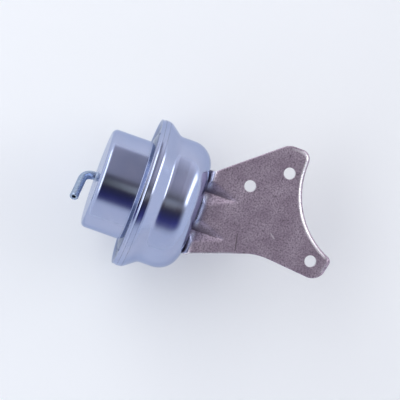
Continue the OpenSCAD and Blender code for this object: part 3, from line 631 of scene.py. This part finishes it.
# ---------------------------------------------------------------- bracket
PLATE_T = 2.4
SHEET_BEND_R = 4.0
BEND_START = SHEET_BEND_R                       # the flat plate begins here along the unrolled sheet
BEND_END = BEND_START - SHEET_BEND_R * math.pi / 2
FLANGE_LENGTH = 19.5
FLANGE_END = BEND_END - FLANGE_LENGTH
FLANGE_CORNER = 8
HOLE_R, SPIGOT_HOLE_R = 2.75, 8.5
SHEET_TOP, SHEET_FOOT = 20.9, -20.5             # the edges of the bend and the flange
DENT_RUN = 16.4
DENT_SLOPE = math.radians(12)
DENT_SIDE = math.tan(math.radians(27))
DENT_Z = (10.6, -8.1)
DENT_SOFT = 0.12                                # how far the dents' creases are rounded
OUTLINE = [(0, SHEET_FOOT, 0), (33, -9, 27), (64.7, -12.1, 7), (67.4, -0.25, 2.5), (42.1, 10.3, 38.7),
           (42.1, 44.2, 4.6), (30.6, 44.2, 8), (2, SHEET_TOP, 3), (0, SHEET_TOP, 0)]
OUTLINE_STEP = 0.8
CLOSEST = 0.12                                  # points of the outline nearer than this become one
GRID_STEP = 0.7
GRID_TO_EDGE, GRID_TO_HOLE = 3.2, 1.45          # how near the grid comes to the edges
# Rows of points along each edge: how far in from the edge they are
EDGE_ROWS = (0.0, 0.03, 0.09, 0.18, 0.3, 0.46, 0.66, 0.9, 1.2)
WIDE_ROWS = (1.45, 1.7, 1.95, 2.25, 2.6)
CREASE_ROWS = (-0.6, -0.32, -0.14, 0.0, 0.14, 0.32, 0.6)
FRONT_EDGE, FRONT_HOLE = 0.4, 0.1               # how far each edge of the front and the back is rounded
BACK_EDGE, BACK_HOLE = 0.3, 0.25
ROLL_WIDTH, ROLL_DEPTH = 2.6, 1.4               # the rounding that the press leaves along the front edge
ROLLED_SIDE = (0.85, 0.53)                      # the way that the rolled part of the edge faces


def sheet_x_to_u(x):
    """Distance along the unrolled sheet of a point at x from the can's end face."""
    if x >= SHEET_BEND_R:
        return x
    return BEND_START - SHEET_BEND_R * math.asin(min(1.0, (SHEET_BEND_R - x) / SHEET_BEND_R))


def sheet_u_of_y(y):
    """Distance along the unrolled sheet of a point of the flange at y."""
    return BEND_END - (y - (PLATE_Y + SHEET_BEND_R))


# The sheet's holes as (u, z, radius, points round it): three in the plate, and the spigot's and studs' in the flange
HOLE_DISCS = [(u, z, HOLE_R, 72) for u, z in ((19.6, 19.9), (35.1, 31.6), (58.0, -3.9))]
HOLE_DISCS += [(sheet_u_of_y(0.0), 0, SPIGOT_HOLE_R, 96)] + [(sheet_u_of_y(0.0), z, HOLE_R, 56) for z in STUD_Z]


def evenly(points, step, closed=True):
    """The same outline with points a step apart."""
    points = np.asarray(points, float)
    ends = np.roll(points, -1, 0) if closed else points[1:]
    out = []
    for a, b in zip(points, ends):
        count = max(1, math.ceil(np.linalg.norm(b - a) / step))
        out += [a + (b - a) * k / count for k in range(count)]
    return np.array(out)


def bend_turn(u):
    """How far round the bend the sheet has turned at u, from 0 on the plate to a quarter turn on the flange."""
    return np.clip((BEND_START - u) / SHEET_BEND_R, 0, math.pi / 2)


def sheet_front(u, z):
    """Front face of the bent sheet, with its two dents, from the can's end face: x, y and z in mm."""
    u, z = np.asarray(u, float), np.asarray(z, float)
    turn = bend_turn(u)
    x = np.where(u > BEND_START, u, SHEET_BEND_R - SHEET_BEND_R * np.sin(turn))
    y = np.where(u > BEND_START, PLATE_Y, PLATE_Y + SHEET_BEND_R - SHEET_BEND_R * np.cos(turn))
    y = y + np.where(u < BEND_END, BEND_END - u, 0)
    over = -math.sin(DENT_SLOPE) * (x - DENT_RUN) - math.cos(DENT_SLOPE) * (y - PLATE_Y)
    deep = np.zeros_like(x)
    for middle in DENT_Z:
        away = np.sqrt((z - middle) ** 2 + DENT_SOFT ** 2) - DENT_SOFT
        d = over - away * DENT_SIDE
        deep = np.maximum(deep, DENT_SOFT * np.log1p(np.exp(np.clip(d / DENT_SOFT, -40, 40))) * (d > -2))
    return np.stack([x + math.sin(DENT_SLOPE) * deep, y + math.cos(DENT_SLOPE) * deep, z], -1)


def inward(loop):
    """Unit vectors into the sheet at each point of a counter-clockwise loop."""
    along = np.roll(loop, -1, 0) - np.roll(loop, 1, 0)
    along /= np.linalg.norm(along, axis=1)[:, None]
    return np.stack([-along[:, 1], along[:, 0]], -1)


def inside(p, loop):
    """True where the point lies inside the loop."""
    a, b = loop, np.roll(loop, -1, 0)
    crosses = (a[:, 1] > p[1]) != (b[:, 1] > p[1])
    with np.errstate(divide="ignore", invalid="ignore"):
        at = a[:, 0] + (p[1] - a[:, 1]) * (b[:, 0] - a[:, 0]) / (b[:, 1] - a[:, 1])
    return int(np.sum(crosses & (p[0] < at))) % 2 == 1


def drop(radius, away):
    """How far a rounded edge falls back at a distance in from the edge."""
    depth = np.clip(radius - away, 0, radius)
    return radius - np.sqrt(radius ** 2 - depth ** 2)


def circle(u, z, radius, count):
    """A clockwise loop, so that inward() points out of the hole and into the sheet."""
    turns = [-2 * math.pi * k / count for k in range(count)]
    return np.array([(u + radius * math.cos(t), z + radius * math.sin(t)) for t in turns])


def edge_distance(points, loop):
    """Distance of each point from a closed outline, and the number of the outline's nearest side."""
    nearest, which = np.full(len(points), 1e9), np.zeros(len(points), int)
    for k, (start, way) in enumerate(zip(loop, np.roll(loop, -1, 0) - loop)):
        share = np.clip(((points - start) @ way) / (way @ way), 0, 1)
        away = np.linalg.norm(points - start - share[:, None] * way, axis=1)
        closer = away < nearest
        nearest[closer] = away[closer]
        which[closer] = k
    return nearest, which


def hole_distance(points):
    """Distance of each point from the nearest hole's edge, below 0 inside a hole."""
    return np.min([np.hypot(points[:, 0] - u, points[:, 1] - z) - r for u, z, r, _ in HOLE_DISCS], axis=0)


def step_between(low, high, value):
    """0 below low, 1 above high, and a smooth step between them."""
    t = np.clip((value - low) / (high - low), 0, 1)
    return t * t * (3 - 2 * t)


def sheet_outline():
    """The unrolled sheet's outline, counter-clockwise: the plate's edge from foot to top, then the flange's."""
    plate = [(sheet_x_to_u(x), z) for x, z in evenly(rounded(OUTLINE, step=5), OUTLINE_STEP)[:-1] if x >= 0]
    plate = [p for k, p in enumerate(plate) if not (k > len(plate) / 2 and p[0] <= BEND_END + 1e-6)]
    corners = [(BEND_END, SHEET_TOP, 0), (FLANGE_END, SHEET_TOP, FLANGE_CORNER),
               (FLANGE_END, SHEET_FOOT, FLANGE_CORNER), (BEND_END, SHEET_FOOT, 0)]
    flange = rounded(corners, step=5, closed=False)
    outline = np.concatenate([np.array(plate[1:]), evenly(flange, OUTLINE_STEP, closed=False), [flange[-1]]])
    outline = evenly(outline, OUTLINE_STEP)
    gap = np.linalg.norm(outline - np.roll(outline, 1, 0), axis=1)
    return outline[gap > CLOSEST]


def edge_rows(loops):
    """Rows of points beside each loop, and the edges that join each row."""
    flat, edges = [], []
    for loop, rows in loops:
        inwards = inward(loop)
        for _ in range(3):
            inwards = inwards + 0.5 * (np.roll(inwards, 1, 0) + np.roll(inwards, -1, 0))
        inwards /= np.linalg.norm(inwards, axis=1)[:, None]
        for d in rows:
            row = loop + inwards * d
            number = np.full(len(row), -1)
            # In a tight corner a row's points come too near another side, and are left out
            clear = np.flatnonzero(edge_distance(row, loop)[0] >= 0.96 * d - 1e-6)
            number[clear] = len(flat) + np.arange(len(clear))
            flat += list(row[clear])
            edges += [(int(a), int(b)) for a, b in zip(number, np.roll(number, -1)) if a >= 0 and b >= 0]
    return flat, edges


def fill_points(outline):
    """A grid of points inside the rows along the edges, with closer rows along each dent's valley."""
    low, high = outline.min(0), outline.max(0)
    across, along = ((high - low) / GRID_STEP).astype(int)
    grid = [low + GRID_STEP * np.array((i + 0.5 * (j % 2) + 0.3, j + 0.5)) for i in range(across)
            for j in range(along)]
    creases = np.array([(u, middle + side) for middle in DENT_Z
                        for u in np.arange(BEND_END + 0.3, DENT_RUN - 0.5, 0.4) for side in CREASE_ROWS])
    from_crease = np.array([np.min(np.hypot(*(creases - p).T)) for p in grid])
    extra = np.concatenate([np.array(grid)[from_crease > 0.5], creases])
    clear = (edge_distance(extra, outline)[0] > GRID_TO_EDGE) & (hole_distance(extra) > GRID_TO_HOLE)
    return [p for p, free in zip(extra, clear) if free and inside(p, outline)]


def sheet_solid(uv, triangles, from_edge, from_hole, rolled):
    """The bent sheet as a closed solid: its front, its back, and the walls along every edge."""
    small = 0.02
    du = sheet_front(uv[:, 0] + small, uv[:, 1]) - sheet_front(uv[:, 0] - small, uv[:, 1])
    dz = sheet_front(uv[:, 0], uv[:, 1] + small) - sheet_front(uv[:, 0], uv[:, 1] - small)
    into = np.cross(dz, du)
    into /= np.linalg.norm(into, axis=1)[:, None]
    if into[np.argmax(uv[:, 0])][1] < 0:
        into = -into
    wobble = drift(np.column_stack([uv, np.zeros(len(uv))]), size=9, amount=0.05, seed=5)
    wobble = wobble * step_between(0.0, 1.0, from_hole)
    roll = drop(ROLL_WIDTH, from_edge) * ROLL_DEPTH / ROLL_WIDTH * rolled
    roll = np.maximum(roll, drop(FRONT_EDGE, from_edge)) + drop(FRONT_HOLE, from_hole)
    base = sheet_front(uv[:, 0], uv[:, 1])
    front = base + into * (roll + wobble)[:, None]
    back = base + into * (PLATE_T - drop(BACK_EDGE, from_edge) - drop(BACK_HOLE, from_hole))[:, None]
    size = len(uv)
    faces = triangles + [(c + size, b + size, a + size) for a, b, c in triangles]
    sides = [side for a, b, c in triangles for side in ((a, b), (b, c), (c, a))]
    shared = set(sides)
    faces += [(b, a, a + size, b + size) for a, b in sides if (b, a) not in shared]
    return np.concatenate([front, back]) + np.array((CAN_END, 0, 0)), faces


def sheet_layers(uv, from_edge, from_hole, rolled, foot):
    """Wear, painted highlights and painted shade at each point: a painted highlight along the rolled edge, wear round
    the holes, a lighter line along the foot's edge and a painted highlight on the bend, and painted shade in the
    dents and on the bend beside the can."""
    u, z = uv.T
    turn = np.degrees(bend_turn(u))
    from_dent = np.min([np.abs(z - middle) for middle in DENT_Z], axis=0)
    above_dent = np.min([np.where(z > middle, z - middle, 1e3) for middle in DENT_Z], axis=0)
    # Painted highlight: a light, glossy strip set in from the rolled edge, fading out before the tip at u 63 to 66.
    wear = rolled * step_between(0.55, 0.95, from_edge) * (1 - step_between(1.5, 2.2, from_edge))
    wear *= 1 - step_between(63.0, 66.0, u)
    wear = np.maximum(wear, 0.3 * (1 - step_between(0.05, 0.4, from_hole)))
    # A lighter line along the foot's edge.
    wear = np.maximum(wear, 0.85 * foot * (1 - step_between(20, 26, u)) * (1 - step_between(0.4, 0.8, from_edge)))
    # Painted highlight across the bend, broken at the dents.
    wear = np.maximum(wear, 0.95 * step_between(14, 30, turn) * (1 - step_between(46, 60, turn))
                      * step_between(0.5, 2.2, from_dent))
    # Painted shade along each dent's crease.
    grime = (1 - step_between(0.05, 0.4, from_dent)) * (1 - step_between(11.5, 13.5, u))
    # Painted shade on the part of the bend nearest the plate, away from the dents.
    grime = np.maximum(grime, 0.45 * step_between(0, 12, turn) * (1 - step_between(24, 34, turn))
                       * (1 - step_between(1.0, 5.0, from_dent)))
    # Painted shade on each dent's upper slope, fading upwards from its crease.
    grime = np.maximum(grime, 0.85 * (1 - step_between(0.4, 4.8, above_dent)) * (1 - step_between(8.0, 16.0, u)))
    return wear, grime


def build_bracket():
    outline = sheet_outline()
    flat, edges = edge_rows([(outline, EDGE_ROWS + WIDE_ROWS)] + [(circle(*disc), EDGE_ROWS) for disc in HOLE_DISCS])
    flat += fill_points(outline)
    verts, _, tris, _, _, _ = geometry.delaunay_2d_cdt([Vector(p) for p in flat], edges, [], 0, 1e-5)
    uv = np.array([tuple(v) for v in verts])
    middles = uv[np.array(tris)].mean(1)
    solid = hole_distance(middles) > 0
    triangles = [tuple(t) for t, middle, full in zip(tris, middles, solid) if full and inside(middle, outline)]

    from_edge, side = edge_distance(uv, outline)
    from_hole = np.maximum(hole_distance(uv), 0)
    inwards = inward(outline)
    facing = -inwards @ np.array(ROLLED_SIDE)
    for _ in range(6):
        facing = (facing + np.roll(facing, 1) + np.roll(facing, -1)) / 3
    rolled = step_between(0.3, 0.75, facing)[side]
    foot = step_between(0.85, 0.97, inwards[:, 1])[side]

    points, faces = sheet_solid(uv, triangles, from_edge, from_hole, rolled)
    wear, grime = sheet_layers(uv, from_edge, from_hole, rolled, foot)
    add_piece("pressed_bracket", points, faces, "housing", RAW, "raw_steel", ["bracket"], sharp=40,
              wear=np.concatenate([wear, 0.3 * wear]), grime=np.concatenate([grime, 0 * grime]))


build_bracket()


# ---------------------------------------------------------------- threads, studs, nuts and rod
PITCH = 0.8
THREAD_DEPTH = 0.42


def thread_cut(x0, x1, fade=0.8):
    """A change for spin() that cuts a thread between two planes."""
    def change(r, x, turn):
        place = (x / PITCH - turn / (2 * math.pi)) % 1.0
        groove = np.clip(1.12 - np.abs(2 * place - 1) * 1.3, 0, 1)
        in_run = np.clip((x - x0) / fade, 0, 1) * np.clip((x1 - x) / fade + 0.3, 0, 1)
        return r - THREAD_DEPTH * groove * in_run * (r > 0.6 * THREAD_DEPTH + 1)
    return change


def bar_section(corners, fine_from, fine_to, step=0.09):
    """Open section from axis to axis with rounded corners, and close rows where a thread is."""
    section = rounded(corners, step=15, closed=False)
    out = []
    for a, b in zip(section[:-1], section[1:]):
        low, high = min(a[1], b[1]), max(a[1], b[1])
        threaded = low >= fine_from - 1e-6 and high <= fine_to + 1e-6 and high > low
        count = max(1, math.ceil((high - low) / step)) if threaded else 1
        out += [a + (b - a) * k / count for k in range(count)]
    return np.array(out + [section[-1]])


STUD = [(0, -2.5, 0), (4.4, -2.5, 0.4), (4.4, -0.9, 0.2), (2.5, -0.9, 0.1), (2.5, 2.2, 0), (2.5, 9.1, 0.15),
        (2.1, 9.5, 0.15), (0, 9.5, 0)]
stud = bar_section([(r, x + CAN_END, c) for r, x, c in STUD], CAN_END + 2.2, CAN_END + 9.3)
stud_thread = thread_cut(CAN_END + 2.4, CAN_END + 9.6)
studs = [spin(stud, segments=72, closed=False, change=stud_thread, centre=(0, 0, z)) for z in STUD_Z]
add_piece("threaded_studs", *joined(*studs), "housing", BRIGHT, "bright_steel", ["mounting_studs"], sharp=50)

STUD_NUT_X, JAM_NUT_X = CAN_END + 3.7, 57.0      # where the nuts begin
NUT_BORE, NUT_ACROSS, NUT_HEIGHT = 2.52, 8.0, 4.0
NUT_BEVEL = 0.32                                # at the bore
NUT_FACE = 3.55                                 # the flat ring of each end reaches to this radius
NUT_ROWS = (0, 0.03, 0.08, 0.16, 0.26, 0.38, 0.5, 0.62, 0.8, 1.2, 2.0, 2.8, 3.2, 3.38, 3.5, 3.62, 3.74, 3.84, 3.92,
            3.97, 4.0)
NUT_WALL = 1.0                                  # marks the rows of the hexagonal wall
NUT_SOFT = 0.05                                 # how far the turned corners run into the flats


def nut(x0):
    """Hexagon nut with its corners turned off, as one closed ring."""
    end = x0 + NUT_HEIGHT
    wall = [(NUT_WALL, x0 + t) for t in NUT_ROWS]
    far = [(NUT_FACE, end), (3.2, end), (NUT_BORE + NUT_BEVEL, end), (NUT_BORE, end - NUT_BEVEL)]
    near = [(NUT_BORE, x0 + NUT_BEVEL), (NUT_BORE + NUT_BEVEL, x0), (3.2, x0), (NUT_FACE, x0)]

    def change(r, x, turn):
        flat_turn = (turn + math.pi / 6) % (math.pi / 3) - math.pi / 6
        hexagon = NUT_ACROSS / 2 / np.cos(flat_turn)
        cone = 0.475 * NUT_ACROSS + 1.73 * np.minimum(x - x0, end - x)
        shape = -NUT_SOFT * np.logaddexp(-hexagon / NUT_SOFT, -cone / NUT_SOFT)
        return np.where(r == NUT_WALL, shape, r)
    return spin(wall + far + near, segments=180, change=change)


def moved(part, shift):
    return part[0] + np.array(shift), part[1]


nuts = [moved(nut(STUD_NUT_X), (0, 0, z)) for z in STUD_Z]
add_piece("hex_nuts", *joined(*nuts), "housing", ZINC_NUT, "zinc_plate", ["stud_nuts"], sharp=28)
add_piece("hex_jam_nut", *nut(JAM_NUT_X), "jam_nut", ZINC_NUT, "zinc_plate", ["jam_nut"], sharp=28)

ROD = [(0, 12.2, 0), (2.2, 12.2, 0.6), (3.2, 13.2, 0.3), (3.2, 13.8, 0.05), (2.0, 13.8, 0.05), (2.0, 17.6, 0.05),
       (3.0, 17.6, 0.1), (3.0, 49.8, 0.15), (2.1, 50.2, 0.1), (2.1, 51.0, 0.1), (2.5, 51.4, 0), (2.5, 66.2, 0.15),
       (2.0, 66.6, 0.15), (0, 66.6, 0)]
rod = spin(bar_section(ROD, fine_from=51.3, fine_to=66.3), segments=80, closed=False, change=thread_cut(51.2, 66.8))
add_piece("threaded_rod", *rod, "rod", BRIGHT, "bright_steel", ["pull_rod"], sharp=50)

# ---------------------------------------------------------------- return spring
SPRING_FROM, SPRING_TO = -18.15, 14.75
SPRING_R, WIRE_R = 15.4, 1.15
SPRING_TURNS = 5.5
WIRE_SIDES, TURN_STEPS = 14, 56


def coil():
    """A helix of round wire whose first and last turns are closed."""
    steps = round(SPRING_TURNS * TURN_STEPS)
    room = SPRING_TO - SPRING_FROM - 2 * WIRE_R
    closed = 2.1 * WIRE_R                       # the pitch of the end turns
    points, faces = [], []
    for i in range(steps + 1):
        t = SPRING_TURNS * i / steps
        if t < 1:
            rise = closed * t
        elif t > SPRING_TURNS - 1:
            rise = room - closed * (SPRING_TURNS - t)
        else:
            rise = closed + (room - 2 * closed) * (t - 1) / (SPRING_TURNS - 2)
        turn = 2 * math.pi * t
        for j in range(WIRE_SIDES):
            q = 2 * math.pi * j / WIRE_SIDES
            r = SPRING_R + WIRE_R * math.cos(q)
            x = SPRING_FROM + WIRE_R + rise + WIRE_R * math.sin(q)
            points.append((x, r * math.cos(turn), r * math.sin(turn)))
    for i in range(steps):
        a, b = i * WIRE_SIDES, (i + 1) * WIRE_SIDES
        for j in range(WIRE_SIDES):
            k = (j + 1) % WIRE_SIDES
            faces.append((a + j, a + k, b + k, b + j))
    faces += [tuple(range(WIRE_SIDES)), tuple(steps * WIRE_SIDES + j for j in range(WIRE_SIDES))[::-1]]
    return np.array(points), faces


spring = add_piece("coil_spring", *coil(), "housing", SPRING, "spring_steel", ["return_spring"])
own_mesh(spring)

# ---------------------------------------------------------------- diaphragm, in its clamped, rolling and moving parts
DISC_SEGMENTS = 160
bead = rounded([(30.95, 2.76, 0.3), (34.0, 2.76, 0.2), (34.0, 4.8, 0.2), (32.4, 7.1, 0.3), (30.95, 7.1, 0.4)])
add_piece("diaphragm_bead", *spin(bead, DISC_SEGMENTS), "housing", RUBBER, "rubber", ["diaphragm"])
web = rounded([(31.1, 3.2, 0.1), (31.1, 4.5, 0.4), (26.2, 10.6, 1.5), (22.1, 16.4, 0.8), (21.2, 15.7, 0.1),
               (25.2, 9.8, 1.5)])
web_piece = add_piece("diaphragm_roll", *spin(web, DISC_SEGMENTS), "housing", RUBBER, "rubber")
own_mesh(web_piece)
crown = rounded([(2.02, 15.81, 0), (21.4, 15.81, 0.1), (22.0, 16.59, 0.2), (2.02, 16.59, 0)])
add_piece("diaphragm_crown", *spin(crown, DISC_SEGMENTS), "rod", RUBBER, "rubber")

# ---------------------------------------------------------------- rod end
EYE_X = 48.3                                    # the eye's axis, from the can's end face


def remeshed(node, voxel, passes):
    """The node's shape with soft, forged edges."""
    host = new_object("host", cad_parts[node].data.copy())
    voxels = host.modifiers.new("voxels", "REMESH")
    voxels.mode = "VOXEL"
    voxels.voxel_size = voxel
    soften = host.modifiers.new("soften", "SMOOTH")
    soften.factor = 0.5
    soften.iterations = passes
    return applied(host)


place_piece("forged_rod_end", remeshed("rod_end", voxel=0.00022, passes=7), "rod_end", ZINC_NUT,
            ["rod_end"], sharp=60)

bush = rounded([(3.05, -3.8, 0.35), (4.0, -3.8, 0.2), (4.0, 3.8, 0.2), (3.05, 3.8, 0.35)])
points, faces = spin(bush, segments=96)
points = np.column_stack([points[:, 2] + CAN_END + EYE_X, points[:, 0], points[:, 1]])
add_piece("hard_eye_bush", points, faces, "rod_end", BRIGHT, "bright_steel", ["eye_bush"])

# ---------------------------------------------------------------- materials of the pieces kept as they are
KEPT = {
    "piston_cup": BRIGHT, "backing_plate": BRIGHT, "rivet_washer": BRIGHT, "spring_seat": BRIGHT,
    "travel_stop": RESIN, "stop_ring": RUBBER, "bush_housing": BRIGHT, "guide_bush": BRONZE,
    "bush_retainer": BRIGHT, "rod_wiper": RUBBER, "wiper_cap": BRIGHT, "spring_washers": SPRING,
}
for node, material in KEPT.items():
    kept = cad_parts[node]
    if not kept.material_slots:
        kept.data.materials.append(material)
    for s in kept.material_slots:
        s.material = material
